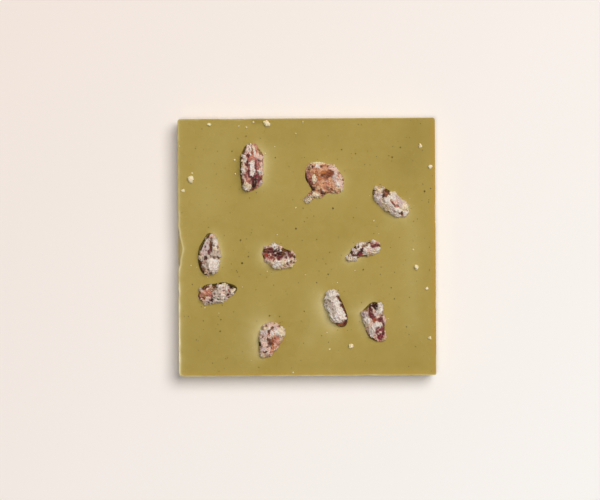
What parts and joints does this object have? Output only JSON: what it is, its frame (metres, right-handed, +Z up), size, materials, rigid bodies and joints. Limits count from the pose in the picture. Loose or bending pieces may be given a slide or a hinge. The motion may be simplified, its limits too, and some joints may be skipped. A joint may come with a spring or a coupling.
{
  "type": "white chocolate bar",
  "caption": "Square tablet of green-tinted white chocolate with sugared nuts half sunk in its poured face, one edge chipped.",
  "frame": {"origin": "middle of the flat underside, on the surface that the tablet lies on", "axes": "+Z up through the thickness towards the nuts, +X to the right and +Y away from the viewer when the nuts are seen from above with the chipped edge on the left"},
  "size_m": [0.1, 0.1, 0.0122],
  "materials": {
    "chocolate": "satin olive-green white chocolate",
    "sugared_nut": "rough pale sugar crust over a dark red-brown nut"
  },
  "bodies": {
    "root": {"chocolate_slab": "chocolate", "sugared_nut_01": "sugared_nut", "sugared_nut_02": "sugared_nut", "sugared_nut_03": "sugared_nut", "sugared_nut_04": "sugared_nut", "sugared_nut_05": "sugared_nut", "sugared_nut_06": "sugared_nut", "sugared_nut_07": "sugared_nut", "sugared_nut_08": "sugared_nut", "sugared_nut_09": "sugared_nut", "sugared_nut_10": "sugared_nut"}
  },
  "joints": []
}
